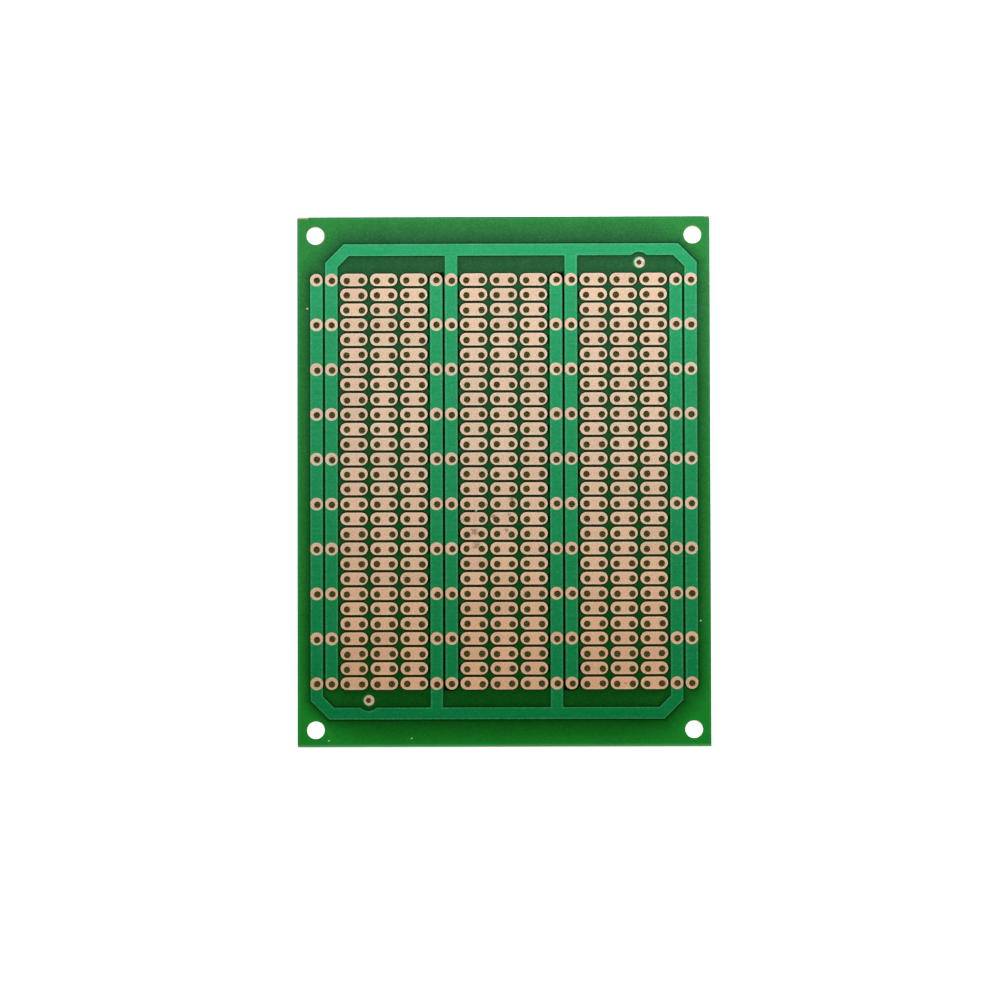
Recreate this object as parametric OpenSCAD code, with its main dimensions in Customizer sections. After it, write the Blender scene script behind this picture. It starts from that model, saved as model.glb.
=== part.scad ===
// Single-sided prototype board: glass-epoxy laminate, drilled on a 2.54 mm grid.
// Two comb-shaped bus bars interleave between blocks of two-hole link pads.
// Seen from above with the copper side up. The origin is under the board's middle.

/* [Board] */
// Width of the board, across the rails
board_w = 70; // [68:0.5:100]
// Length of the board, along the rails
board_l = 90; // [88:0.5:120]
// Thickness of the bare laminate
board_t = 1.6; // [0.8:0.1:2.4]

/* [Hole grid] */
// Distance between neighbouring holes, along and across
pitch = 2.54; // [2.2:0.01:2.54]
// Rows of holes
rows = 28; // [16:3:28]
// Rows from one hole in a rail to the next
tap_step = 3; // [1, 3, 9]
// Diameter of a drilled lead hole
lead_hole_d = 1; // [0.6:0.05:1.2]
// How far the lead and corner holes sit to the right of the copper pattern
drill_x = 0.08; // [-0.15:0.01:0.15]
// How far the lead and corner holes sit above the copper pattern, towards the top bar
drill_y = -0.14; // [-0.15:0.01:0.15]
// Furthest that a single lead hole drifts from there, as the drill bends on the glass weave
drill_drift = 0.08; // [0:0.01:0.1]

/* [Copper] */
// Thickness of the copper foil
copper_t = 0.035; // [0.018:0.001:0.07]
// Gap etched between neighbouring pads and rails
copper_gap = 0.44; // [0.3:0.01:0.6]
// Width of the cross bar that joins the rails of one comb
bar_w = 2; // [1.2:0.1:2.6]
// Pitches from the outer row of holes to the middle of the bar
bar_steps = 2; // [2:0.1:2.5]
// Pitches that the 45 degree corner takes off between the bar and an outer rail
corner_steps = 1; // [0.6:0.1:1.2]

/* [Tooling pads] */
// Diameter of the copper land round a tooling hole
tool_land_d = 2; // [1.6:0.05:2.2]
// Diameter of the tooling hole
tool_hole_d = 0.9; // [0.6:0.05:1.1]
// Distance from the outer column of holes in to the tooling hole
tool_in = 8.75; // [7:0.05:11]
// Distance from the outer row of holes out to the tooling hole
tool_out = 2.84; // [2.6:0.02:3.2]
// Laminate left bare of copper between a tooling land and the bar
tool_clear = 0.8; // [0.3:0.05:1]

/* [Mounting holes] */
// Diameter of the four corner holes
mount_d = 3; // [2:0.1:3.4]
// Distance from a corner hole's middle to both edges beside it
mount_edge = 3; // [2.5:0.05:3.5]

/* [Solder mask] */
// Thickness of the mask film
mask_t = 0.025; // [0.015:0.001:0.04]
// Hairline left between the film and the copper that it covers
film_gap = 0.002; // [0.001:0.001:0.004]
// Bare margin that a mask opening leaves round its pad
mask_margin = 0.05; // [0.045:0.005:0.08]
// Diameter of the mask opening over a tooling land
tool_open_d = 1.8; // [1.3:0.05:2]
// How far the tooling openings sit to the right of their lands
tool_open_x = 0.12; // [-0.15:0.01:0.15]
// Length of the longest chip out of the film at a cut corner
chip_l = 1.9; // [1:0.1:3]
// Depth of that chip, in from the edge
chip_depth = 0.3; // [0.1:0.05:0.5]

/* [Hidden] */
$fn = 48;

blocks = 3;              // blocks of link pads, with a pair of rails on either side of each
links = 3;               // link pads side by side in a block
block_cols = 2 + 2 * links;
cols = blocks * block_cols + 2;
pad_w = pitch - copper_gap;
rail_w = pitch - copper_gap;
grid_x = (cols - 1) * pitch / 2;     // middle of the outer column of holes
grid_y = (rows - 1) * pitch / 2;     // middle of the outer row of holes
bar_y = grid_y + bar_steps * pitch;
corner_cut = corner_steps * pitch;
tool_x = grid_x - tool_in;
tool_y = grid_y + tool_out;
cut_over = 1;                        // how far a cutting tool runs past the face it cuts

laminate_green = "#b9b878";
mask_green = "#218c52";
bare_copper = "#d7b89a";

function col_x(col) = col * pitch - grid_x;
function row_y(row) = grid_y - row * pitch;
function is_rail(col) = col % block_cols < 2;

// The holes of the rails
module rail_holes() {
    for (col = [0 : cols - 1], row = [0 : tap_step : rows - 1])
        if (is_rail(col))
            lead_hole(col, row);
}

// The holes of one column of link pads, two to a pad
module link_holes(first_col) {
    for (side = [0, 1], row = [0 : rows - 1])
        lead_hole(first_col + side, row);
}

// One lead hole, with the same drift in every layer that it runs through
module lead_hole(col, row) {
    drift = rands(-drill_drift, drill_drift, 2, 100 * col + row);
    drill(col_x(col) + drill_x + drift[0], row_y(row) + drill_y + drift[1], lead_hole_d);
}

// The tooling holes are drilled to the copper itself, so they have no offset
module tooling_hole(end) {
    drill(end * tool_x, end * tool_y, tool_hole_d);
}

module mount_holes() {
    for (side_x = [-1, 1], side_y = [-1, 1])
        drill(
            side_x * (board_w / 2 - mount_edge) + drill_x,
            side_y * (board_l / 2 - mount_edge) + drill_y,
            mount_d
        );
}

// A drill that runs right through the board, the copper and the film
module drill(x, y, diameter) {
    translate([x, y, -cut_over])
        cylinder(d = diameter, h = board_t + copper_t + mask_t + 2 * cut_over);
}

// First hole column of link pad number link in block number block
function link_col(block, link) = block * block_cols + 2 + 2 * link;

module laminate() {
    color(laminate_green)
        difference() {
            translate([-board_w / 2, -board_l / 2, 0])
                cube([board_w, board_l, board_t]);
            rail_holes();
            for (block = [0 : blocks - 1], link = [0 : links - 1])
                link_holes(link_col(block, link));
            tooling_hole(1);
            tooling_hole(-1);
            mount_holes();
        }
}

// Outline of a link pad with round ends, made wider all round by grow
module link_outline(grow = 0) {
    square([pitch, pad_w + 2 * grow], center = true);
    for (side = [-1, 1])
        translate([side * pitch / 2, 0])
            circle(d = pad_w + 2 * grow);
}

// One column of link pads, a separate land of copper in every row
module link_pads(block, link) {
    color(bare_copper)
        difference() {
            translate([0, 0, board_t])
                linear_extrude(copper_t)
                    for (row = [0 : rows - 1])
                        translate([col_x(link_col(block, link)) + pitch / 2, row_y(row)])
                            link_outline();
            link_holes(link_col(block, link));
        }
}

// Outline of the comb that hangs from the top bar, made wider all round by grow.
// Its outer rails turn into the bar through 45 degree corners of the bar's width.
module comb_outline(grow = 0) {
    rail_r = rail_w / 2 + grow;
    bar_r = bar_w / 2 + grow;
    left = col_x(1);
    right = col_x(cols - 1);
    turn_y = bar_y - corner_cut;
    slope = bar_r * sqrt(2);
    end_y = row_y(rows - 1);
    difference() {
        union() {
            polygon([
                [right + rail_r, end_y],
                [right + rail_r, turn_y + slope - rail_r],
                [right - corner_cut + slope - bar_r, bar_y + bar_r],
                [left + corner_cut - slope + bar_r, bar_y + bar_r],
                [left - rail_r, turn_y + slope - rail_r],
                [left - rail_r, end_y],
                [left + rail_r, end_y],
                [left + rail_r, turn_y - slope + rail_r],
                [left + corner_cut + slope - bar_r, bar_y - bar_r],
                [right - corner_cut - slope + bar_r, bar_y - bar_r],
                [right - rail_r, turn_y - slope + rail_r],
                [right - rail_r, end_y]
            ]);
            for (block = [1 : blocks - 1])
                translate([col_x(block * block_cols + 1) - rail_r, end_y])
                    square([2 * rail_r, bar_y - end_y]);
            for (block = [0 : blocks])
                translate([col_x(block * block_cols + 1), end_y])
                    circle(r = rail_r);
        }
        translate([tool_x, tool_y])
            circle(d = tool_land_d + 2 * tool_clear - 2 * grow);
    }
}

// The comb's copper before it is drilled: end is 1 for the top comb and -1 for the
// bottom one, which is the same comb turned half round
module comb_copper(end, grow = 0, thick = copper_t) {
    translate([0, 0, board_t])
        linear_extrude(thick)
            rotate(end > 0 ? 0 : 180)
                comb_outline(grow);
}

module bus_comb(end) {
    color(bare_copper)
        difference() {
            comb_copper(end);
            rail_holes();
        }
}

module tool_land(end, grow = 0, thick = copper_t) {
    translate([end * tool_x, end * tool_y, board_t])
        cylinder(d = tool_land_d + 2 * grow, h = thick);
}

module tooling_pad(end) {
    color(bare_copper)
        difference() {
            tool_land(end);
            tooling_hole(end);
        }
}

// Openings that leave the pads bare for soldering
module mask_openings() {
    translate([0, 0, board_t - cut_over])
        linear_extrude(copper_t + mask_t + 2 * cut_over) {
            for (block = [0 : blocks - 1], link = [0 : links - 1], row = [0 : rows - 1])
                translate([col_x(link_col(block, link)) + pitch / 2, row_y(row)])
                    link_outline(mask_margin);
            for (col = [0 : cols - 1], row = [0 : tap_step : rows - 1])
                if (is_rail(col))
                    translate([col_x(col), row_y(row)])
                        circle(d = pad_w + 2 * mask_margin);
            for (end = [-1, 1])
                translate([end * tool_x + tool_open_x, end * tool_y])
                    circle(d = tool_open_d);
        }
}

// Places at the cut edge where the film has come off
module mask_chips() {
    chip(-board_w / 2, board_l / 2 - chip_depth, chip_l, chip_depth);
    chip(board_w / 2 - chip_l / 2, board_l / 2 - chip_depth / 2, chip_l / 4, chip_depth / 2);
    chip(board_w / 2 - chip_l / 6, board_l / 2 - chip_depth, chip_l / 6, chip_depth);
    chip(-board_w / 2, -board_l / 2, chip_l / 6, chip_depth);
}

module chip(x, y, length, depth) {
    translate([x, y, board_t - cut_over])
        cube([length, depth, copper_t + mask_t + 2 * cut_over]);
}

// The film lies on the laminate and steps up over the copper of the combs and lands
module solder_mask() {
    color(mask_green)
        difference() {
            union() {
                translate([-board_w / 2, -board_l / 2, board_t])
                    cube([board_w, board_l, mask_t]);
                for (end = [-1, 1]) {
                    comb_copper(end, mask_t, copper_t + mask_t);
                    tool_land(end, mask_t, copper_t + mask_t);
                }
            }
            for (end = [-1, 1]) {
                comb_copper(end, film_gap, copper_t + film_gap);
                tool_land(end, film_gap, copper_t + film_gap);
            }
            mask_openings();
            mount_holes();
            mask_chips();
        }
}

laminate();
solder_mask();
bus_comb(1);  // top_bus_comb
bus_comb(-1);  // bottom_bus_comb
link_pads(0, 0);  // link_pads_a1
link_pads(0, 1);  // link_pads_a2
link_pads(0, 2);  // link_pads_a3
link_pads(1, 0);  // link_pads_b1
link_pads(1, 1);  // link_pads_b2
link_pads(1, 2);  // link_pads_b3
link_pads(2, 0);  // link_pads_c1
link_pads(2, 1);  // link_pads_c2
link_pads(2, 2);  // link_pads_c3
tooling_pad(1);  // tooling_pad_top
tooling_pad(-1);  // tooling_pad_bottom
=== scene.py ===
# %% [markdown]
# # A bare prototype board, copper side up
# A prototype board is a flat sandwich. A drilled core of glass-epoxy laminate carries copper foil that was
# etched into pads and bus bars, and a printed green film covers all of it but the pads. The solids come
# from the CAD model and keep their places. This lesson gives each of them the finish of the real one,
# and adds what a drill, a saw and daily handling leave behind.

import math
import random

import bpy
from mathutils import Matrix, Vector


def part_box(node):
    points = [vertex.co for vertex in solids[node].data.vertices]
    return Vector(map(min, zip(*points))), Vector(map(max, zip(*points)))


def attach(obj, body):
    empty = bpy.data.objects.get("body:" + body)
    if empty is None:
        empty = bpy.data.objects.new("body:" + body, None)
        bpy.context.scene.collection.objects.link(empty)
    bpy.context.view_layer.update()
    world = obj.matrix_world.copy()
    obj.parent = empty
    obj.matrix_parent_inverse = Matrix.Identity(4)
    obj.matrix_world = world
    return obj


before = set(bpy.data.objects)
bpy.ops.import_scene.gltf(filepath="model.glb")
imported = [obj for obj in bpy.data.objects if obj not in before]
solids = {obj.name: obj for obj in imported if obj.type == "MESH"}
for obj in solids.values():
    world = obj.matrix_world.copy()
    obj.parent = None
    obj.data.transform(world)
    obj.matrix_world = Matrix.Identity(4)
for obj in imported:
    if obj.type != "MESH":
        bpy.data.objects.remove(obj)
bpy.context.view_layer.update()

# %% [markdown]
# ## Sizes, read off the frame
# Everything on such a board sits on a 2.54 mm grid, so a handful of sizes places every pattern below.
# They are read from the boxes of the solids. What a box doesn't tell is written out: the grid's pitch and
# counts, the bar's width, the holes and the offset of the drilling.
# Patterns are easier to think about in millimetres, so the named sizes are millimetres as well.

# %% Name the sizes
MM = 0.001
PITCH = 2.54
COLUMNS, ROWS = 26, 28
BLOCK = 8 * PITCH  # from one pair of rails to the next
TAP = 3 * PITCH  # from one hole in a rail to the next
OUTER_PADS = 10 * PITCH  # from the middle to the outermost column of link pads
BAR_WIDTH = 2.0
HOLE_R = 0.5
CORNER_R, CORNER_INSET = 1.5, 3.0  # a corner hole, and its distance from both edges
NOTCH_ROOM = 0.8  # between the lone tooling pad and the bar
DRILL = Vector((0.08, -0.14, 0))  # the drilling is this far off the copper

core_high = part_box("laminate")[1] / MM
pad_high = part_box("link_pads_b2")[1] / MM
comb_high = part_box("top_bus_comb")[1] / MM
film_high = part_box("solder_mask")[1] / MM
tool_low, tool_high = (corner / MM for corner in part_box("tooling_pad_top"))

PAD_R = pad_high.x - PITCH / 2
GRID_X, GRID_Y = (COLUMNS - 1) * PITCH / 2, (ROWS - 1) * PITCH / 2
RAIL_X = comb_high.x - PAD_R  # middle of the outermost rail
BAR_Y = comb_high.y - BAR_WIDTH / 2  # middle of the cross bar
HALF_W, HALF_L = core_high.x, core_high.y
CORE_TOP, COPPER_TOP = core_high.z, pad_high.z
FILM_STEP = (CORE_TOP + film_high.z) / 2  # above this the film lies on copper
CORNER_HOLE = Vector((HALF_W - CORNER_INSET, HALF_L - CORNER_INSET, 0))
TOOL_PLACE = Vector(((tool_low.x + tool_high.x) / 2, (tool_low.y + tool_high.y) / 2, 0))
NOTCH_R = tool_high.x - TOOL_PLACE.x + NOTCH_ROOM  # the bar makes room for the lone tooling pad
print("pad radius", round(PAD_R, 3), "outer rail", round(RAIL_X, 3), "bar", round(BAR_Y, 3))

# %% [markdown]
# ## The camera
# The photograph is taken from straight above with a long lens: the board's far end is only a third of a
# per cent narrower than its near end. A camera 1.65 m away that leans back by 4 degrees gives that, and a
# 350 mm lens gives the size in the frame. The point that it aims at is a little below the board's middle.

# %% Set up the camera
CAMERA_DISTANCE = 1.647
LEAN_BACK = math.radians(3.88)
LEAN_SIDE = math.radians(-0.63)
ROLL = math.radians(0.18)
AIM = Vector((-0.67, -3.22, COPPER_TOP)) * MM
LENS = 350

toward_camera = Vector((-math.sin(LEAN_SIDE), -math.sin(LEAN_BACK), 1)).normalized()
camera_right = Vector((math.cos(ROLL), -math.sin(ROLL), 0))
camera_right = (camera_right - toward_camera * camera_right.dot(toward_camera)).normalized()
camera_up = toward_camera.cross(camera_right)

bpy.ops.object.camera_add(location=AIM + toward_camera * CAMERA_DISTANCE)
camera = bpy.context.object
camera.rotation_euler = Matrix((camera_right, camera_up, toward_camera)).transposed().to_euler()
camera.data.lens = LENS
bpy.context.scene.camera = camera
print("camera at", [round(v, 3) for v in camera.location])

# %% [markdown]
# ## One helper for every node
# Shaders are graphs of nodes. A node gets its settings first, because those open and close its sockets.
# Then its open inputs are filled in order, or by name from a dictionary.

# %% Add a node
def first_output(value):
    """Gives the socket that a node is linked by, and anything else as it is."""
    if isinstance(value, bpy.types.Node):
        return next(output for output in value.outputs if not output.is_unavailable)
    return value


def add(tree, kind, *values, **settings):
    """Adds a shader node with its settings, and links or fills its open inputs."""
    made = tree.nodes.new("ShaderNode" + kind)
    for name, setting in settings.items():
        setattr(made, name, setting)
    if values and isinstance(values[0], dict):
        pairs = [(made.inputs[name], value) for name, value in values[0].items()]
    else:
        pairs = zip([socket for socket in made.inputs if not socket.is_unavailable], values)
    for socket, value in pairs:
        value = first_output(value)
        if isinstance(value, bpy.types.NodeSocket):
            tree.links.new(value, socket)
        else:
            socket.default_value = value
    return made


def linear(hex_code):
    """Turns an sRGB hex colour into the linear values that shaders use."""
    parts = [int(hex_code[place : place + 2], 16) / 255 for place in (1, 3, 5)]
    return [part / 12.92 if part <= 0.04045 else ((part + 0.055) / 1.055) ** 2.4 for part in parts] + [1]


def new_material(name):
    """Starts an empty material and returns it with its node tree."""
    made = bpy.data.materials.new(name)
    made.use_nodes = True
    made.node_tree.nodes.clear()
    return made, made.node_tree


print("white is", linear("#ffffff"))

# %% [markdown]
# ## What every finish is made of
# A few steps come back in every material: a soft fade between two distances, one that never quite ends,
# noise with clouds of a given size, and ways to lay one colour over another.

# %% Add what comes back
NOISE_LOW, NOISE_HIGH = 0.3, 0.7  # nearly all of a noise lies between these


def fade(tree, distance, near, far, most=1):
    """Falls smoothly from its most at the near distance to nothing at the far one."""
    return add(tree, "MapRange", distance, near, far, most, 0, interpolation_type="SMOOTHSTEP")


def die_away(tree, distance, reach):
    """Starts from one at the edge and falls to about a third over each reach."""
    shrunk = add(tree, "Math", distance, -1 / reach, operation="MULTIPLY")
    return add(tree, "Math", shrunk, operation="EXPONENT")


def noise(tree, point, size, detail=2, roughness=0.6):
    """Gives noise between nought and one, with clouds of about this size."""
    return add(tree, "TexNoise", point, 1 / size, detail, roughness)


def swing(tree, value, amount):
    """Turns noise round a half into this amount of swing, half of it up and half of it down."""
    return add(tree, "Math", value, amount, -amount / 2, operation="MULTIPLY_ADD")


def blend(tree, share, first, second, how="MIX"):
    """Mixes, adds or multiplies a second colour into the first, as far as the share says."""
    return add(tree, "Mix", share, first, second, data_type="RGBA", blend_type=how)


def tone(tree, face, value):
    """Makes a colour lighter or darker by a value."""
    grey = add(tree, "CombineColor", value, value, value)
    return blend(tree, 1, face, grey, "MULTIPLY")


def stain(tree, share, face, tint):
    """Multiplies a colour by a tint, as far as the share says."""
    stained = blend(tree, 1, face, tint, "MULTIPLY")
    return blend(tree, share, face, stained)


print("seven helpers are ready")

# %% [markdown]
# ## Light
# Product pictures like this one are lit by a large soft box close to the far edge, so that end is brighter
# than the near one. The photographer's ceiling is dark, and the walls are pale. So the world is dark
# overhead and light at the horizon, which fills the sides and keeps haze off the film. The lamp gets the
# share of the full level that it brings to the board's middle, and its power follows from its distance.
# Its glare is kept out, as a photographer does with a polarising filter, or the board would look white
# from a low angle. What still shines is what the surfaces reflect of the pale walls.

# %% Light the board
KEY_SHARE = 0.80
KEY_PLACE = Vector((0.03, 0.19, 0.13))
KEY_SIZE = 0.18
KEY_TINT = (0.98, 1.0, 1.02)
CEILING = (0.060, 0.059, 0.057, 1)
WALLS = (1.15, 1.14, 1.12, 1)
CEILING_RISE = 0.8  # the walls have faded out where a direction rises this much over its length
WHITE = (1, 1, 1, 1)

bpy.ops.object.light_add(type="AREA", location=KEY_PLACE)
key_lamp = bpy.context.object
key_lamp.name = "key_soft_box"
key_lamp.rotation_euler = KEY_PLACE.to_track_quat("Z", "Y").to_euler()
key_lamp.data.size = KEY_SIZE
key_lamp.data.color = KEY_TINT
key_lamp.data.energy = KEY_SHARE * math.pi**2 * KEY_PLACE.length**3 / KEY_PLACE.z
key_lamp.visible_camera = False
key_lamp.visible_glossy = False

world = bpy.data.worlds.new("studio with a dark ceiling")
bpy.context.scene.world = world
world.use_nodes = True
tree = world.node_tree
tree.nodes.clear()
overhead = add(tree, "SeparateXYZ", add(tree, "TexCoord").outputs["Generated"]).outputs["Z"]
overhead = add(tree, "MapRange", overhead, 0, CEILING_RISE, 0, 1, interpolation_type="SMOOTHSTEP")
room = blend(tree, overhead, WALLS, CEILING)
seen = add(tree, "LightPath").outputs["Is Camera Ray"]
room = blend(tree, seen, room, WHITE)
add(tree, "OutputWorld", add(tree, "Background", room))
print("key lamp of", round(key_lamp.data.energy, 2), "W")

# %% [markdown]
# ## The floor
# A sheet of white paper. The photograph's background is pure white, so the camera also sees a little glow
# of the sheet's own, which the board doesn't. Right under the board the glow is full, or the large corner
# holes would look grey. Under the drilled field lies a smaller olive card with hardly a glow. Its olive
# colour and faint glow are painted light, the greenish light that the laminate lets into a lead hole.
# Besides that, a lead hole shows a dim bottom that little more than the light down the hole reaches.

# %% Lay the floor
PAPER, CARD, CARD_GLOW = linear("#f2f2f2"), linear("#dfe6b4"), linear("#2a2f1a")
FLOOR_SIZE = 3.0
PAPER_GLOW, GLOW_UNDER_BOARD = 0.82, 1.0
FLOOR_DROP = 0.04  # the floor is this far below the board, and the card half as far
CARD_INSET = 1.5  # from the board's sides, and from the corner holes a third as much

paper, tree = new_material("white paper")
rays = add(tree, "LightPath").outputs
shown = add(tree, "Math", rays["Is Camera Ray"], rays["Is Glossy Ray"], operation="MAXIMUM")
shown = add(tree, "Math", shown, rays["Is Transmission Ray"], operation="MAXIMUM")
place = add(tree, "VectorMath", add(tree, "TexCoord").outputs["Object"], operation="ABSOLUTE")
outside = [side * MM for side in (HALF_W, HALF_L)]
place = add(tree, "VectorMath", place, (*outside, 0), operation="SUBTRACT")
side_x, side_y, _ = add(tree, "SeparateXYZ", place).outputs
beyond = add(tree, "Math", side_x, side_y, operation="MAXIMUM")
beyond = add(tree, "Math", beyond, 0, operation="GREATER_THAN")
glow = add(tree, "Mix", beyond, GLOW_UNDER_BOARD, PAPER_GLOW, data_type="FLOAT")
glow = add(tree, "Emission", WHITE, add(tree, "Math", shown, glow, operation="MULTIPLY"))
add(tree, "OutputMaterial", add(tree, "AddShader", add(tree, "BsdfDiffuse", PAPER), glow))

card, tree = new_material("olive card")
# Painted light: the card's olive colour and faint glow stand for light let in by the laminate
painted_hole_light = add(tree, "Emission", CARD_GLOW, add(tree, "LightPath").outputs["Is Camera Ray"])
add(tree, "OutputMaterial", add(tree, "AddShader", add(tree, "BsdfDiffuse", CARD), painted_hole_light))

bpy.ops.mesh.primitive_plane_add(size=FLOOR_SIZE, location=(0, 0, -FLOOR_DROP * MM))
floor = bpy.context.object
floor.name = "floor"
floor.data.materials.append(paper)

bpy.ops.mesh.primitive_plane_add(size=2 * MM, location=(0, 0, -FLOOR_DROP / 2 * MM))
hole_card = bpy.context.object
hole_card.name = "hole_card"
hole_card.scale = (HALF_W - CARD_INSET, CORNER_HOLE.y - CORNER_R - CARD_INSET / 3, 1)
hole_card.data.materials.append(card)
print("stage:", floor.name, hole_card.name)

# %% [markdown]
# ## Where the copper is
# The film looks different over copper, beside it and far from it, and the pads have a rim. All of these
# follow the distance to the edge of the copper. Painting that by hand would take a picture, but the artwork
# is regular, so a group of nodes can work the distance out: a fold brings every pad to one pad, a half
# turn brings one comb to the other, and a negative distance is inside the copper. All in millimetres.

# %% Start the group of distances
artwork = bpy.data.node_groups.new("artwork distances", "ShaderNodeTree")
artwork.interface.new_socket("Place", in_out="INPUT", socket_type="NodeSocketVector")
entry = artwork.nodes.new("NodeGroupInput")
point = add(artwork, "VectorMath", {"Vector": entry.outputs[0], "Scale": 1 / MM}, operation="SCALE")
x, y, height = add(artwork, "SeparateXYZ", point).outputs
size_x = add(artwork, "Math", x, operation="ABSOLUTE")
size_y = add(artwork, "Math", y, operation="ABSOLUTE")
found = {"Point": point, "Along": y, "Height": height}

# %% Distance to the link pads
# Link pads stand two pitches apart in x and one in y, and the fold stops at the outermost ones. From the
# middle of a pad it is half a pitch to the centre of its own round end, and 1.5 to that of the next pad's
fold = add(artwork, "Math", x, PITCH, operation="PINGPONG")
past = add(artwork, "Math", size_x, OUTER_PADS, operation="SUBTRACT")
across = add(artwork, "Math", fold, past, operation="MAXIMUM")
across = add(artwork, "Math", across, PITCH / 2, operation="SUBTRACT")
across = add(artwork, "Math", across, 0, operation="MAXIMUM")
less = add(artwork, "Math", 0, fold, operation="SUBTRACT")
next_across = add(artwork, "Math", add(artwork, "Math", less, past, operation="MAXIMUM"), 1.5 * PITCH)
fold = add(artwork, "Math", y, PITCH / 2, operation="SUBTRACT")
fold = add(artwork, "Math", fold, PITCH / 2, operation="PINGPONG")
past = add(artwork, "Math", size_y, GRID_Y, operation="SUBTRACT")
along = add(artwork, "Math", fold, past, operation="MAXIMUM")
less = add(artwork, "Math", 0, fold, operation="SUBTRACT")
next_along = add(artwork, "Math", add(artwork, "Math", less, past, operation="MAXIMUM"), PITCH)
lands = []
for reach in ((across, along), (next_across, along), (across, next_along)):
    land = add(artwork, "VectorMath", add(artwork, "CombineXYZ", *reach), operation="LENGTH")
    lands.append(add(artwork, "Math", land, PAD_R, operation="SUBTRACT"))
found["Pads"] = lands[0]
print("fold of the link pads:", len(artwork.nodes), "nodes")

# %% Distance to the combs
# The top comb, and then the same comb turned half round
FRAME_X = PITCH / 2  # the comb's middle is half a pitch to one side
FRAME_R = RAIL_X - FRAME_X
CORNER_SUM = FRAME_R + BAR_Y - PITCH
combs = []
for turn in (1, -1):
    side = add(artwork, "Math", x, turn, -FRAME_X, operation="MULTIPLY_ADD")
    side = add(artwork, "Math", side, operation="ABSOLUTE")
    up = add(artwork, "Math", y, turn, operation="MULTIPLY")
    level = add(artwork, "Math", up, BAR_Y, operation="SUBTRACT")
    beyond = add(artwork, "Math", level, 0, operation="MAXIMUM")
    below = add(artwork, "Math", -GRID_Y, up, operation="SUBTRACT")
    below = add(artwork, "Math", below, 0, operation="MAXIMUM")
    inner = add(artwork, "Math", side, BLOCK / 2, operation="SUBTRACT")
    ends = add(artwork, "Math", below, beyond, operation="ADD")
    inner = add(artwork, "VectorMath", add(artwork, "CombineXYZ", inner, ends), operation="LENGTH")
    upright = add(artwork, "Math", side, FRAME_R, operation="SUBTRACT")
    slant = add(artwork, "Math", side, up, operation="ADD")
    slant = add(artwork, "Math", slant, CORNER_SUM, operation="SUBTRACT")
    slant = add(artwork, "Math", slant, math.sqrt(0.5), operation="MULTIPLY")
    outer = add(artwork, "Math", upright, level, operation="MAXIMUM")
    outer = add(artwork, "Math", outer, slant, operation="MAXIMUM")
    outer = add(artwork, "VectorMath", add(artwork, "CombineXYZ", outer, below), operation="LENGTH")
    comb = add(artwork, "Math", inner, outer, operation="MINIMUM")
    comb = add(artwork, "Math", comb, PAD_R, operation="SUBTRACT")
    notch = add(artwork, "CombineXYZ", add(artwork, "Math", x, turn, operation="MULTIPLY"), up)
    notch = add(artwork, "VectorMath", notch, TOOL_PLACE, operation="DISTANCE")
    notch = add(artwork, "Math", NOTCH_R, notch, operation="SUBTRACT")
    combs.append(add(artwork, "Math", comb, notch, operation="MAXIMUM"))
found["Combs"] = add(artwork, "Math", *combs, operation="MINIMUM")
found["Copper"] = add(artwork, "Math", found["Pads"], found["Combs"], operation="MINIMUM")
print("with the combs:", len(artwork.nodes), "nodes")

# %% [markdown]
# A narrow gap with copper on both sides is painted much darker than the foot of a single edge: painted
# shade, as the light under the film can't come up there. So one more value
# says how crowded a point is: every land and comb near it adds one that fades with its distance.

# %% Count the copper round a point
CROWD_REACH = 0.22  # mm over which a neighbour fades
crowd = 0
for neighbour in lands + combs:
    fading = die_away(artwork, neighbour, CROWD_REACH)
    crowd = add(artwork, "Math", fading, crowd, operation="ADD")
found["Crowd"] = crowd
print("with the crowd:", len(artwork.nodes), "nodes")

# %% Distance to round windows, holes and cut edges
tap_x = add(artwork, "Math", x, PITCH / 2, operation="SUBTRACT")
tap_x = add(artwork, "Math", tap_x, PITCH / 2, operation="PINGPONG")
tap_y = add(artwork, "Math", y, TAP / 2, operation="SUBTRACT")
tap_y = add(artwork, "Math", tap_y, TAP / 2, operation="PINGPONG")
taps = add(artwork, "VectorMath", add(artwork, "CombineXYZ", tap_x, tap_y), operation="LENGTH")
found["Taps"] = add(artwork, "Math", taps, PAD_R, operation="SUBTRACT")

drilled = add(artwork, "VectorMath", point, DRILL, operation="SUBTRACT")
hole_x, hole_y, _ = add(artwork, "SeparateXYZ", drilled).outputs
hole_x = add(artwork, "Math", hole_x, PITCH / 2, operation="SUBTRACT")
hole_x = add(artwork, "Math", hole_x, PITCH / 2, operation="PINGPONG")
hole_y = add(artwork, "Math", hole_y, PITCH / 2, operation="SUBTRACT")
hole_y = add(artwork, "Math", hole_y, PITCH / 2, operation="PINGPONG")
holes = add(artwork, "VectorMath", add(artwork, "CombineXYZ", hole_x, hole_y), operation="LENGTH")
found["Holes"] = add(artwork, "Math", holes, HOLE_R, operation="SUBTRACT")

edge_x = add(artwork, "Math", HALF_W, size_x, operation="SUBTRACT")
edge_y = add(artwork, "Math", HALF_L, size_y, operation="SUBTRACT")
found["Edge"] = add(artwork, "Math", edge_x, edge_y, operation="MINIMUM")
corner = add(artwork, "VectorMath", drilled, operation="ABSOLUTE")
corner = add(artwork, "VectorMath", corner, CORNER_HOLE, operation="SUBTRACT")
corner = add(artwork, "VectorMath", corner, (1, 1, 0), operation="MULTIPLY")
corner = add(artwork, "VectorMath", corner, operation="LENGTH")
corner = add(artwork, "Math", corner, CORNER_R, operation="SUBTRACT")
found["Round"] = corner
found["Front"] = add(artwork, "Math", y, HALF_L, operation="ADD")

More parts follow.
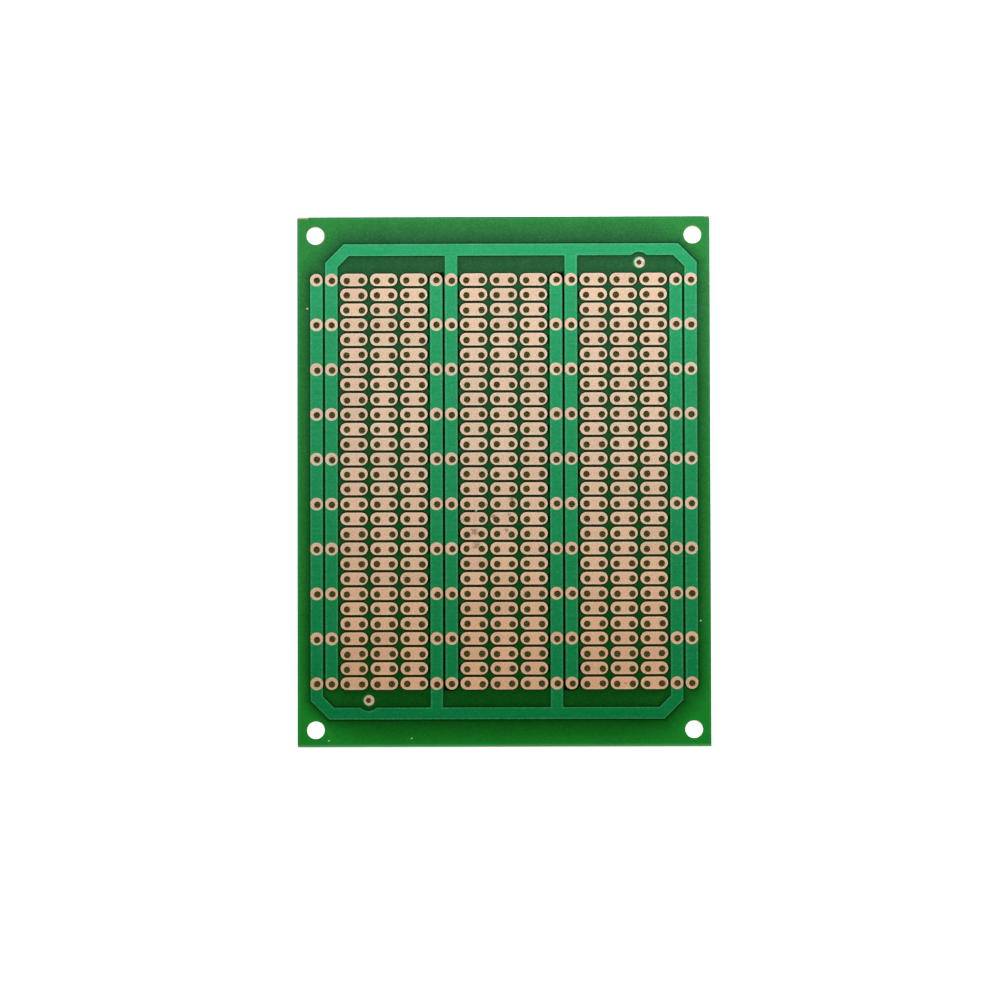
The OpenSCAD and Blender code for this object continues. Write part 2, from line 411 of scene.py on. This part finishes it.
for name in found:
    kind = "NodeSocketVector" if name == "Point" else "NodeSocketFloat"
    artwork.interface.new_socket(name, in_out="OUTPUT", socket_type=kind)
answer = artwork.nodes.new("NodeGroupOutput")
for name, value in found.items():
    artwork.links.new(first_output(value), answer.inputs[name])
print("all distances:", len(artwork.nodes), "nodes,", ", ".join(found))


def start(tree):
    """Gives a material the artwork distances at each of its points."""
    return add(tree, "Group", {0: add(tree, "TexCoord").outputs["Object"]}, node_tree=artwork).outputs


# %% [markdown]
# ## The printed film
# Liquid solder mask is a green epoxy ink, screened on, exposed and baked to a satin film 25 micrometres
# thick. It is clear enough to take on what lies under it: emerald over copper, bottle green over laminate.
# How deep it looks follows from its thickness, since light that passes twice as much ink is coloured twice:
# the colour is raised to a power, which is what the Gamma node does. So one field of thickness draws the
# ink that pools at the foot of the copper, together with painted shade there, the squeegee's fine strokes
# and the orange peel of the bake.
# Each colour also has a far and a near one: the film is painted lighter towards the far end and darker and
# yellower towards the near end, painted light and shade on top of the lamp's own falloff.

# %% Measure the film
# Far colours lighter than near ones: painted light and shade along the board
ON_COPPER_FAR, ON_COPPER_NEAR = linear("#2e9e66"), linear("#077e40")
ON_CORE_FAR, ON_CORE_NEAR = linear("#285736"), linear("#064d0d")
RUN_END = 42  # mm from the middle to where the far and near colours hold
GAP_SHADE, CROWD_FROM, CROWD_TO = 1.0, 0.45, 1.0  # painted shade: deeper by this share in a gap as crowded as the second
FOOT, FOOT_REACH = 0.15, 0.6  # thicker ink and painted shade by this share at the foot of copper, and mm over which that fades
CLOUD_SIZE, CLOUD = 4.0, 0.14
GRAIN_SIZE, GRAIN = 0.30, 0.46
STROKE_SIZE, STROKE = (1 / 9, 1 / 0.3, 0), 0.22  # strokes of 9 by 0.3 mm

film, tree = new_material("green solder mask ink, screened and baked")
at = start(tree)
run = add(tree, "MapRange", at["Along"], RUN_END, -RUN_END, 0, 1)
cloud = noise(tree, at["Point"], CLOUD_SIZE, detail=3, roughness=0.55)
cloud = swing(tree, cloud, CLOUD)
grain = noise(tree, at["Point"], GRAIN_SIZE)
grain = swing(tree, grain, GRAIN)
strokes = add(tree, "VectorMath", at["Point"], STROKE_SIZE, operation="MULTIPLY")
strokes = noise(tree, strokes, 1)
strokes = swing(tree, strokes, STROKE)
uneven = add(tree, "Math", cloud, grain, operation="ADD")
print("film texture:", len(tree.nodes), "nodes")

# %% [markdown]
# Between two edges of copper the film is painted nearly black, as painted shade. Light that gets into the
# laminate through a
# sawn edge or a large hole comes back up through the film and makes the margins glow. It dies away over a
# few millimetres, and sooner where copper is near, because copper lets none of it out. The flux lacquer of
# the dip has crept in between the link pads, which makes those gaps browner than the ones between rails.

# %% Film over laminate
GLOW_AT_FAR, GLOW_AT_NEAR = (0.006, 0.130, 0.008, 1), (0.010, 0.190, 0.020, 1)
GLOW_REACH, GLOW_CLEAR = 3.0, 0.8  # mm from the cut, and mm from the copper
ROUND_SHARE = 0.70  # a large hole lets in this much of what a sawn edge does
CREPT = (0.024, 0.009, 0.001, 1)
CREPT_NEAR, CREPT_FAR = 0.17, 0.40  # mm from the link pads
RAIL_NEAR, RAIL_FAR = 0.35, 0.55  # and from the rails, where none got in
FRAYED = (0.010, 0.004, 0.022, 1)
FRAYED_NEAR, FRAYED_FAR = 0.30, 0.55  # the outermost strip is greyed by the saw
BROKEN = (0.035, 0.090, 0.060, 1)
BROKEN_NEAR, BROKEN_FAR = 0.22, 0.45  # and at the front, where the saw came out, it is pale

# Painted shade: the film deepens in gaps crowded with copper
gap_shade = add(tree, "MapRange", at["Crowd"], CROWD_FROM, CROWD_TO, 0, GAP_SHADE, interpolation_type="SMOOTHSTEP")
# Partly painted shade: the film deepens near the foot of the copper
foot = die_away(tree, at["Copper"], FOOT_REACH)
depth = add(tree, "Math", foot, FOOT, uneven, operation="MULTIPLY_ADD")
depth = add(tree, "Math", depth, 1, operation="ADD")
depth = add(tree, "Math", depth, gap_shade, operation="ADD")
low = blend(tree, run, ON_CORE_FAR, ON_CORE_NEAR)
low = add(tree, "Gamma", low, depth)
crept = fade(tree, at["Pads"], CREPT_NEAR, CREPT_FAR)
crept = add(tree, "Math", crept, gap_shade, operation="MULTIPLY")
off_rails = add(tree, "MapRange", at["Combs"], RAIL_NEAR, RAIL_FAR, 0, 1)
crept = add(tree, "Math", crept, off_rails, operation="MULTIPLY")
low = blend(tree, crept, low, CREPT, "ADD")

reach = die_away(tree, at["Edge"], GLOW_REACH)
round_reach = die_away(tree, at["Round"], GLOW_REACH)
reach = add(tree, "Math", round_reach, ROUND_SHARE, reach, operation="MULTIPLY_ADD")
shade = die_away(tree, at["Copper"], GLOW_CLEAR)
shade = add(tree, "Math", 1, shade, operation="SUBTRACT")
glow = add(tree, "Math", reach, shade, operation="MULTIPLY")
glow = add(tree, "Math", glow, add(tree, "Math", 1, uneven, operation="SUBTRACT"), operation="MULTIPLY")
glow_tint = blend(tree, run, GLOW_AT_FAR, GLOW_AT_NEAR)
low = blend(tree, glow, low, glow_tint, "ADD")
frayed = fade(tree, at["Edge"], FRAYED_NEAR, FRAYED_FAR)
low = blend(tree, frayed, low, FRAYED, "ADD")
broken = fade(tree, at["Front"], BROKEN_NEAR, BROKEN_FAR)
low = blend(tree, broken, low, BROKEN, "ADD")
print("film over laminate:", len(tree.nodes), "nodes")

# %% [markdown]
# Over the copper the film is even, but for the last quarter of a millimetre. There it rolls over the etched
# edge, and a painted highlight draws the bend catching the light in a thin, broken line.

# %% Film over copper
ROLLED_HIGHLIGHT = (0.060, 0.048, 0.062, 1)
ROLLED_AT, ROLLED_NEAR, ROLLED_FAR = 0.16, 0.03, 0.15  # middle of the line, and mm from there
FLECK_SIZE = 0.34  # the line is broken into flecks of about this size
FLECK_FROM, FLECK_TO, FLECK_LEAST = 0.36, 0.64, 0.15

# Painted highlight along the film's bend over the copper's edge
bend = add(tree, "Math", at["Combs"], ROLLED_AT, operation="ADD")
bend = add(tree, "Math", bend, operation="ABSOLUTE")
rolled_highlight = fade(tree, bend, ROLLED_NEAR, ROLLED_FAR)
fleck = noise(tree, at["Point"], FLECK_SIZE, detail=1, roughness=0.5)
fleck = add(tree, "MapRange", fleck, FLECK_FROM, FLECK_TO, FLECK_LEAST, 1)
rolled_highlight = add(tree, "Math", rolled_highlight, fleck, operation="MULTIPLY")
depth = add(tree, "Math", 1, grain, operation="ADD")
depth = add(tree, "Math", depth, strokes, operation="ADD")
high = blend(tree, run, ON_COPPER_FAR, ON_COPPER_NEAR)
high = add(tree, "Gamma", high, depth)
high = blend(tree, rolled_highlight, high, ROLLED_HIGHLIGHT, "ADD")
print("film over copper:", len(tree.nodes), "nodes")

# %% [markdown]
# The baked ink is a clear plastic, so it gets the usual IOR of 1.5. Its satin surface spreads the shine, and
# the specular level is lowered because matting powder in the ink soaks up much of it.

# %% Finish the film
SCUFF_PLACE = Vector((-31.80, 41.74, 0))  # middle of the round edge where the drill lifted the film
SCUFF_R, SCUFF_IN, SCUFF_OUT = 1.47, 0.04, 0.06  # its edge fades over this much in and out
BARE_RESIN = linear("#c7a488")
PEEL, PEEL_STRENGTH = 0.025, 0.6  # mm of bump for a full swing of thickness
INK_ROUGH, INK_ROUGH_SWING = 0.42, 0.5
INK_IOR, INK_SPECULAR = 1.5, 0.17

raised = add(tree, "Math", at["Height"], FILM_STEP, operation="GREATER_THAN")
colour = blend(tree, raised, low, high)
flat_point = add(tree, "VectorMath", at["Point"], (1, 1, 0), operation="MULTIPLY")
scuff = add(tree, "VectorMath", flat_point, SCUFF_PLACE, operation="DISTANCE")
scuff = add(tree, "MapRange", scuff, SCUFF_R - SCUFF_IN, SCUFF_R + SCUFF_OUT, 1, 0)
colour = blend(tree, scuff, colour, BARE_RESIN)
rough = add(tree, "Math", uneven, INK_ROUGH_SWING, INK_ROUGH, operation="MULTIPLY_ADD")
relief = add(tree, "Math", uneven, strokes, operation="ADD")
relief = add(tree, "Bump", {"Strength": PEEL_STRENGTH, "Distance": PEEL * MM, "Height": relief})
skin = add(tree, "BsdfPrincipled", {
    "Base Color": colour, "Roughness": rough, "Normal": relief,
    "IOR": INK_IOR, "Specular IOR Level": INK_SPECULAR,
})
add(tree, "OutputMaterial", skin)
print("film:", len(tree.nodes), "nodes")

# %% [markdown]
# ## Bare copper
# The pads are 35 micrometre copper foil, scrubbed and dipped in a thin flux lacquer. That keeps copper from
# tarnishing and dulls it to a matt pinkish cream, so it is only part metallic. A paler rim is drawn along
# the etched edge. The copper is painted whiter towards the far end and browner towards the near end, painted
# light and shade; the lacquer pools pink here and yellow there. Handling leaves grey smudges and hairline
# scratches, most near the middle.

# %% Colour the copper
# Painted light and shade: the far colour is whiter, the near one browner
COPPER_FAR, COPPER_NEAR = linear("#f4d1b3"), linear("#f8c397")
RUN_FROM, RUN_TO = 13, -40
RIM_TINT, RIM_NEAR, RIM_FAR = (1.01, 1.20, 1.34, 1), 0.05, 0.42
PINK, YELLOW = (1.03, 0.97, 1.0, 1), (0.985, 1.02, 0.95, 1)
TINT_SIZE, TINT_FROM, TINT_TO = 0.8, 0.38, 0.62
PAD_CELL = (2 * PITCH, PITCH, 10)
PAD_DARK, PAD_LIGHT = 0.95, 1.04
SCRUB_SIZE = (1 / 0.40, 1 / 0.22, 0)  # marks of 0.40 by 0.22 mm
SCRUB_FROM, SCRUB_TO, SCRUB_DARK, SCRUB_LIGHT = 0.25, 0.75, 0.78, 1.19

copper, tree = new_material("copper foil under flux lacquer")
at = start(tree)
run = add(tree, "MapRange", at["Along"], RUN_FROM, RUN_TO, 0, 1, interpolation_type="SMOOTHSTEP")
face = blend(tree, run, COPPER_FAR, COPPER_NEAR)
pools = noise(tree, at["Point"], TINT_SIZE, roughness=0.5)
pools = add(tree, "MapRange", pools, TINT_FROM, TINT_TO, 0, 1, interpolation_type="SMOOTHSTEP")
pools = blend(tree, pools, PINK, YELLOW)
face = blend(tree, 1, face, pools, "MULTIPLY")

# Each pad took the dip a little differently
pad_of = add(tree, "VectorMath", at["Point"], (PITCH, 0, 0), operation="ADD")
pad_of = add(tree, "VectorMath", pad_of, PAD_CELL, operation="SNAP")
each = add(tree, "TexWhiteNoise", pad_of, noise_dimensions="3D")
each = add(tree, "MapRange", each, 0, 1, PAD_DARK, PAD_LIGHT)
face = tone(tree, face, each)

scrub = add(tree, "VectorMath", at["Point"], SCRUB_SIZE, operation="MULTIPLY")
scrub = noise(tree, scrub, 1, detail=3)
fine = add(tree, "MapRange", scrub, SCRUB_FROM, SCRUB_TO, SCRUB_DARK, SCRUB_LIGHT)
face = tone(tree, face, fine)
print("copper colour:", len(tree.nodes), "nodes")

# %% Rim the pads
RAGGED_SIZE, RAGGED_LEAST = 0.4, 0.5

near_pad = add(tree, "Math", at["Pads"], at["Taps"], operation="MINIMUM")
inside = add(tree, "Math", near_pad, -1, operation="MULTIPLY")
rim = fade(tree, inside, RIM_NEAR, RIM_FAR)
ragged = noise(tree, at["Point"], RAGGED_SIZE, detail=1, roughness=0.5)
ragged = add(tree, "MapRange", ragged, NOISE_LOW, NOISE_HIGH, RAGGED_LEAST, 1)
rim = add(tree, "Math", rim, ragged, operation="MULTIPLY")
face = stain(tree, rim, face, RIM_TINT)
print("with the rim:", len(tree.nodes), "nodes")

# %% [markdown]
# Wear isn't spread evenly, so it is placed one by one: a few spots where the board was touched or a bit
# slipped, each with its middle and reach in millimetres. Noise breaks them up, and a net of cell edges, of
# which only the parts inside those spots show, gives the hairline scratches.

# %% Wear the copper
SMUDGES = (
    (1.3, -3.0, 0.6), (-1.7, -6.1, 0.55), (0.9, -5.7, 0.4), (-5.0, -8.6, 0.7), (-4.6, -10.7, 0.8),
    (-5.0, -11.2, 0.5), (0.4, -8.3, 0.45), (2.6, -8.3, 0.5), (3.7, -9.3, 0.4), (-6.9, -6.6, 0.4),
    (-3.1, -4.0, 0.3), (20.5, -34.4, 0.3),
)
SPOT_FULL, SPOT_END = 0.2, 1.3  # where a spot is full and where it ends, as shares of its reach
PATCH_SIZE, PATCH_FROM, PATCH_TO, PATCH_LEAST, PATCH_MOST = 0.45, 0.42, 0.58, 0.1, 0.95
NET_SIZE, NET_NEAR, NET_FAR = 1.7, 0.02, 0.06
SCRATCHED = 0.9  # how grey a scratch is, where a full smudge is 1

worn = 0
for where_x, where_y, wide in SMUDGES:
    spot = add(tree, "VectorMath", at["Point"], (where_x, where_y, COPPER_TOP), operation="DISTANCE")
    spot = fade(tree, spot, SPOT_FULL * wide, SPOT_END * wide)
    worn = add(tree, "Math", worn, spot, operation="MAXIMUM")
patchy = noise(tree, at["Point"], PATCH_SIZE, detail=3, roughness=0.65)
patchy = add(tree, "MapRange", patchy, PATCH_FROM, PATCH_TO, PATCH_LEAST, PATCH_MOST)
smudge = add(tree, "Math", worn, patchy, operation="MULTIPLY")
net = add(tree, "TexVoronoi", {"Vector": at["Point"], "Scale": 1 / NET_SIZE}, feature="DISTANCE_TO_EDGE")
net = add(tree, "MapRange", net, NET_NEAR, NET_FAR, SCRATCHED, 0)
net = add(tree, "Math", net, worn, operation="MULTIPLY")
smudge = add(tree, "Math", smudge, net, operation="MAXIMUM")
print("with smudges:", len(tree.nodes), "nodes")

# %% [markdown]
# One scratch is long enough to have a place of its own. The distance to it is measured from the nearest
# point between its ends.

# %% Draw the long scratch
SCRATCH_FROM, SCRATCH_TO = Vector((-5.6, -8.14, 0)), Vector((-4.26, -9.07, 0))
SCRATCH_NEAR, SCRATCH_FAR = 0.04, 0.13
GREY_TINT = (0.38, 0.35, 0.38, 1)

course = SCRATCH_TO - SCRATCH_FROM
from_end = add(tree, "VectorMath", at["Point"], SCRATCH_FROM, operation="SUBTRACT")
from_end = add(tree, "VectorMath", from_end, (1, 1, 0), operation="MULTIPLY")
reached = add(tree, "VectorMath", from_end, course.normalized(), operation="DOT_PRODUCT")
reached = add(tree, "Math", reached, 0, operation="MAXIMUM")
reached = add(tree, "Math", reached, course.length, operation="MINIMUM")
reached = {"Vector": course.normalized(), "Scale": first_output(reached)}
nearest = add(tree, "VectorMath", reached, operation="SCALE")
scratch = add(tree, "VectorMath", from_end, nearest, operation="DISTANCE")
scratch = add(tree, "MapRange", scratch, SCRATCH_NEAR, SCRATCH_FAR, SCRATCHED, 0)
smudge = add(tree, "Math", smudge, scratch, operation="MAXIMUM")
face = stain(tree, smudge, face, GREY_TINT)
print("with the scratch:", len(tree.nodes), "nodes")

# %% Finish the copper
HOLE_DIRT = (0.62, 0.50, 0.42, 1)
DIRT_NEAR, DIRT_FAR = 0.05, 0.26
DIRT_SIZE, DIRT_FROM, DIRT_TO, DIRT_MOST = 0.9, 0.50, 0.68, 0.8
COPPER_METAL, COPPER_SMOOTH, COPPER_ROUGH = 0.2, 0.46, 0.58
RELIEF_STRENGTH, SCRUB_DEPTH = 0.5, 0.008  # the depth in mm

# Some holes are dirty at the rim
dirt = fade(tree, at["Holes"], DIRT_NEAR, DIRT_FAR)
some = noise(tree, at["Point"], DIRT_SIZE)
some = add(tree, "MapRange", some, DIRT_FROM, DIRT_TO, 0, DIRT_MOST)
dirt = add(tree, "Math", dirt, some, operation="MULTIPLY")
face = stain(tree, dirt, face, HOLE_DIRT)
rough = add(tree, "MapRange", scrub, NOISE_LOW, NOISE_HIGH, COPPER_SMOOTH, COPPER_ROUGH)
relief = add(tree, "Bump", {"Strength": RELIEF_STRENGTH, "Distance": SCRUB_DEPTH * MM, "Height": scrub})
skin = add(tree, "BsdfPrincipled", {
    "Base Color": face, "Roughness": rough, "Normal": relief, "Metallic": COPPER_METAL,
})
add(tree, "OutputMaterial", skin)
print("copper:", len(tree.nodes), "nodes")

# %% [markdown]
# ## Glass-epoxy laminate
# The core is eight sheets of woven glass in yellow-green epoxy. Its top is hidden but for the hairline
# between a pad and the film, which is painted dark as shade, and the corners where a sliver of foil was
# left.
# Its sawn edge shows the eight plies as pale lines, crossed by the saw's strokes. Its underside is bare: the
# weave shows, copper is a warmer shadow through the resin, and every lead hole has a pale crazed ring.

# %% Name the laminate's colours and sizes
RESIN = linear("#a9ad5f")
RESIN_OVER_COPPER = linear("#a3955a")
GLASS = linear("#c9c98f")
CRAZED = linear("#dcdcb4")
SAWN_RESIN, SAWN_GLASS = linear("#7f8a3c"), linear("#d3d3a2")
# Painted shade of the hairline between a pad and the film
SHADED_HAIRLINE = linear("#2e2008")
FOIL_SLIVER = linear("#c4a58c")
BORE, BORE_TOP, LIT_BORE = linear("#c8c07c"), linear("#4a3a18"), linear("#e6ead0")
YARN_X, YARN_Y = 0.59, 0.80  # mm from one yarn to the next in a common glass cloth
GLASS_LEAST, GLASS_MOST = 0.1, 0.75
SHADOW_BLUR = 0.5  # mm to each side of the copper's edge, seen through the board
CRAZED_NEAR, CRAZED_FAR, CRAZED_MOST = 0.06, 0.34, 0.7
PLIES, PLY_SWING = 8, 0.28
SAW_SIZE = (1 / 0.16, 1 / 0.16, 1 / 1.2)  # the saw's strokes stand upright, 0.16 by 1.2 mm
SAWN_FROM, SAWN_TO = 0.2, 0.8
BURNT_DEPTH = 0.25  # mm of a bore, down from the copper, that the hot drill browned
ROUND_WALL, FOIL_BAND = 0.3, 0.6  # mm from a corner hole, and mm from the board's edge
ON_CUT, ON_FACE = 0.01, 0.002  # a point this near to a cut or a face lies on it
MOTTLE_SIZE, MOTTLE_DARK, MOTTLE_LIGHT = 2.5, 0.92, 1.06
WEAVE_DEPTH = 0.02
CORE_ROUGH, CORE_IOR, CORE_SPECULAR = 0.55, 1.55, 0.4

core, tree = new_material("glass-epoxy laminate, sawn and drilled")
at = start(tree)
mottle = noise(tree, at["Point"], MOTTLE_SIZE, detail=3)
print("plies of", round(CORE_TOP / PLIES, 2), "mm")

# %% Underside: plain weave, over and under
wave_x = add(tree, "SeparateXYZ", at["Point"]).outputs["X"]
wave_x = add(tree, "Math", wave_x, math.pi / YARN_X, operation="MULTIPLY")
wave_x = add(tree, "Math", wave_x, operation="SINE")
wave_y = add(tree, "Math", at["Along"], math.pi / YARN_Y, operation="MULTIPLY")
wave_y = add(tree, "Math", wave_y, operation="SINE")
weave = add(tree, "Math", wave_x, wave_y, operation="MULTIPLY")
yarns = add(tree, "MapRange", weave, -1, 1, GLASS_LEAST, GLASS_MOST)
through = fade(tree, at["Copper"], -SHADOW_BLUR, SHADOW_BLUR)
under = blend(tree, through, RESIN, RESIN_OVER_COPPER)
under = blend(tree, yarns, under, GLASS)
crazed = fade(tree, at["Holes"], CRAZED_NEAR, CRAZED_FAR, CRAZED_MOST)
# Grid places without a hole have no ring: two of three on the rails, and those off the copper
off_combs = add(tree, "Math", at["Combs"], 0, operation="GREATER_THAN")
has_hole = add(tree, "Mix", off_combs, at["Taps"], at["Pads"], data_type="FLOAT")
has_hole = add(tree, "Math", has_hole, 0, operation="LESS_THAN")
crazed = add(tree, "Math", crazed, has_hole, operation="MULTIPLY")
under = blend(tree, crazed, under, CRAZED)
print("underside:", len(tree.nodes), "nodes")

# %% Sawn edge, bores and top
ply = add(tree, "Math", at["Height"], 2 * math.pi * PLIES / CORE_TOP, operation="MULTIPLY")
ply = add(tree, "Math", ply, operation="COSINE")
ply = add(tree, "MapRange", ply, -1, 1, -PLY_SWING, PLY_SWING)
saw = add(tree, "VectorMath", at["Point"], SAW_SIZE, operation="MULTIPLY")
saw = noise(tree, saw, 1, detail=3, roughness=0.65)
sawn = add(tree, "Math", ply, saw, operation="ADD")
sawn = add(tree, "MapRange", sawn, SAWN_FROM, SAWN_TO, 0, 1)
sawn = blend(tree, sawn, SAWN_RESIN, SAWN_GLASS)
burnt_from = CORE_TOP - BURNT_DEPTH
burnt = add(tree, "MapRange", at["Height"], burnt_from, CORE_TOP, 0, 1, interpolation_type="SMOOTHSTEP")
bore = blend(tree, burnt, BORE, BORE_TOP)
wide = add(tree, "Math", at["Round"], ROUND_WALL, operation="LESS_THAN")
bore = blend(tree, wide, bore, LIT_BORE)
near_edge = add(tree, "Math", at["Edge"], FOIL_BAND, operation="LESS_THAN")
top = blend(tree, near_edge, SHADED_HAIRLINE, FOIL_SLIVER)

is_edge = add(tree, "Math", at["Edge"], ON_CUT, operation="LESS_THAN")
is_top = add(tree, "Math", at["Height"], CORE_TOP - ON_FACE, operation="GREATER_THAN")
is_under = add(tree, "Math", at["Height"], ON_FACE, operation="LESS_THAN")
face = blend(tree, is_edge, bore, sawn)
face = blend(tree, is_under, face, under)
face = blend(tree, is_top, face, top)
mottled = add(tree, "MapRange", mottle, NOISE_LOW, NOISE_HIGH, MOTTLE_DARK, MOTTLE_LIGHT)
face = tone(tree, face, mottled)

relief = add(tree, "Mix", is_edge, weave, saw, data_type="FLOAT")
relief = add(tree, "Bump", {"Strength": RELIEF_STRENGTH, "Distance": WEAVE_DEPTH * MM, "Height": relief})
skin = add(tree, "BsdfPrincipled", {
    "Base Color": face, "Roughness": CORE_ROUGH, "Normal": relief,
    "IOR": CORE_IOR, "Specular IOR Level": CORE_SPECULAR,
})
add(tree, "OutputMaterial", skin)
print("laminate:", len(tree.nodes), "nodes")

# %% Dress the solids
finishes = {"solder_mask": film, "laminate": core}  # and copper for all the others
for name, solid in solids.items():
    solid.data.materials.clear()
    solid.data.materials.append(finishes.get(name, copper))
print("dressed:", len(solids))

# %% [markdown]
# ## Drilled rims
# A drill pushes up a rim of copper as it goes in, and smears burnt resin over it. From above this is the
# dark ring that every lead hole has. The holes drift, so their places are measured on the laminate's mesh:
# its points on the underside are sorted by the grid place that they are nearest to.

# %% Find the holes
reaches = {}
for vertex in solids["laminate"].data.vertices:
    x_mm, y_mm = vertex.co.x / MM, vertex.co.y / MM
    column = round((x_mm - DRILL.x + GRID_X) / PITCH)
    row = round((GRID_Y - y_mm + DRILL.y) / PITCH)
    if vertex.co.z / MM < CORE_TOP / 2 and 0 <= column < COLUMNS and 0 <= row < ROWS:
        reaches.setdefault((column, row), []).append((x_mm, y_mm))
hole_places = {}
for key, points in sorted(reaches.items()):
    xs, ys = zip(*points)
    hole_places[key] = Vector(((min(xs) + max(xs)) / 2, (min(ys) + max(ys)) / 2, COPPER_TOP))
print("lead holes found:", len(hole_places))

# %% [markdown]
# One rim is modelled by hand from a circle: its edge is extruded and scaled to the crest, out to the copper,
# down into it and back. It is copied to every hole, turned by chance and a little out of round.

# %% Model one rim
RIM_START = (0.440, -0.010)
RIM_STEPS = ((0.515, 0.010), (0.565, 0.001), (0.515, -0.012))  # radius and height after each extrusion
RIM_SIDES = 12
RIM_OVAL = 0.03  # a rim is up to this share out of round

bpy.ops.object.select_all(action="DESELECT")
bpy.ops.mesh.primitive_circle_add(vertices=RIM_SIDES, radius=RIM_START[0] * MM, location=(0, 0, 0))
rim_model = bpy.context.object
bpy.ops.object.mode_set(mode="EDIT")
bpy.ops.mesh.select_all(action="SELECT")
bpy.ops.transform.translate(value=(0, 0, RIM_START[1] * MM))
radius, lift = RIM_START
for next_radius, next_lift in RIM_STEPS:
    bpy.ops.mesh.extrude_edges_move(TRANSFORM_OT_translate={"value": (0, 0, (next_lift - lift) * MM)})
    scale = next_radius / radius
    bpy.ops.transform.resize(value=(scale, scale, 1), center_override=(0, 0, 0))
    radius, lift = next_radius, next_lift
bpy.ops.mesh.select_all(action="DESELECT")
bpy.ops.mesh.select_non_manifold()
bpy.ops.mesh.bridge_edge_loops()
bpy.ops.mesh.select_all(action="SELECT")
bpy.ops.mesh.normals_make_consistent(inside=False)
bpy.ops.object.mode_set(mode="OBJECT")
print("one rim:", len(rim_model.data.polygons), "faces")

# %% Copy it to every hole
chance = random.Random(7)


def spread(model, name, places, stretch):
    """Copies a model to each place, each copy with its own mesh, turn and stretch, as one piece."""
    copies = []
    for place in places:
        size = [1 + chance.uniform(-stretch, stretch) for _ in range(2)]
        turned = Matrix.Rotation(chance.uniform(-math.pi, math.pi), 4, "Z")
        copy = bpy.data.objects.new(name, model.data.copy())
        copy.data.transform(Matrix.Translation(place * MM) @ turned @ Matrix.Diagonal((*size, 1, 1)))
        bpy.context.collection.objects.link(copy)
        copies.append(copy)
    bpy.data.objects.remove(model)
    bpy.ops.object.select_all(action="DESELECT")
    for copy in copies:
        copy.select_set(True)
    bpy.context.view_layer.objects.active = copies[0]
    bpy.ops.object.join()
    copies[0].name = name
    print(name, "has", len(copies[0].data.polygons), "faces")
    return copies[0]


rims = spread(rim_model, "drilled_rims", hole_places.values(), RIM_OVAL)

# %% Smear the rims
BURNT_RESIN, SMEARED_COPPER = linear("#38240f"), linear("#7d5c38")
SMEAR_SIZE, SMEAR_FROM, SMEAR_TO = 0.3, 0.4, 0.7
BURR_ROUGH, BURR_METAL = 0.6, 0.3

burr, tree = new_material("copper burr smeared with burnt resin")
at = start(tree)
smear = noise(tree, at["Point"], SMEAR_SIZE)
smear = add(tree, "MapRange", smear, SMEAR_FROM, SMEAR_TO, 0, 1)
shade = blend(tree, smear, BURNT_RESIN, SMEARED_COPPER)
skin = add(tree, "BsdfPrincipled", {"Base Color": shade, "Roughness": BURR_ROUGH, "Metallic": BURR_METAL})
add(tree, "OutputMaterial", skin)
rims.data.materials.clear()
rims.data.materials.append(burr)
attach(rims, "root")

# %% [markdown]
# ## Dust
# A few pale flakes of glass dust from the sawing lie on the film and on one pad, as on any board fresh from
# its bag. Each starts as a flat disc whose corners are pushed about, pressed flat again, given a thickness
# and chamfered.

# %% Model one flake
FLAKE_R, FLAKE_H = 0.16, 0.020
FLAKE_SIDES, FLAKE_NARROW, FLAKE_TOP = 8, 0.7, 0.7  # its width over its length, and its top over its foot
FLAKE_OVAL = 0.2  # a copy is up to this share larger or smaller each way
FILM_LOW = CORE_TOP + film_high.z - COPPER_TOP  # top of the film where it lies on laminate
FLAKES = (
    Vector((-33.3, 29.4, FILM_LOW)), Vector((-29.7, -43.95, FILM_LOW)),
    Vector((33.25, -23.8, FILM_LOW)), Vector((-15.7, -43.6, FILM_LOW)),
    Vector((-4.65, -4.95, COPPER_TOP)), Vector((-4.75, -5.05, COPPER_TOP)),
)

bpy.ops.object.select_all(action="DESELECT")
bpy.ops.mesh.primitive_circle_add(
    vertices=FLAKE_SIDES, radius=FLAKE_R * MM, fill_type="NGON", location=(0, 0, 0)
)
flake_model = bpy.context.object
bpy.ops.object.mode_set(mode="EDIT")
bpy.ops.mesh.select_all(action="SELECT")
bpy.ops.transform.vertex_random(offset=FLAKE_R / 2 * MM, seed=4)
bpy.ops.transform.resize(value=(1, FLAKE_NARROW, 0), center_override=(0, 0, 0))
bpy.ops.mesh.extrude_region_move(TRANSFORM_OT_translate={"value": (0, 0, FLAKE_H * MM)})
bpy.ops.transform.resize(value=(FLAKE_TOP, FLAKE_TOP, 1))
bpy.ops.mesh.select_all(action="SELECT")
bpy.ops.mesh.normals_make_consistent(inside=False)
bpy.ops.object.mode_set(mode="OBJECT")
print("one flake:", len(flake_model.data.polygons), "faces")

# %% Scatter the flakes
DUST_SHADED, DUST_LIT = linear("#8fb585"), linear("#dfeacf")
MEAL_SIZE = 0.12
DUST_ROUGH, DUST_IOR = 0.8, 1.5

flakes = spread(flake_model, "dust_flakes", FLAKES, FLAKE_OVAL)
dust, tree = new_material("glass dust from the saw")
at = start(tree)
mealy = noise(tree, at["Point"], MEAL_SIZE)
mealy = blend(tree, mealy, DUST_SHADED, DUST_LIT)
skin = add(tree, "BsdfPrincipled", {"Base Color": mealy, "Roughness": DUST_ROUGH, "IOR": DUST_IOR})
add(tree, "OutputMaterial", skin)
flakes.data.materials.clear()
flakes.data.materials.append(dust)
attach(flakes, "root")

# %% [markdown]
# ## Close the scene
# The picture is made with the plain Standard view.

# %% Finish
bpy.context.scene.view_settings.view_transform = "Standard"
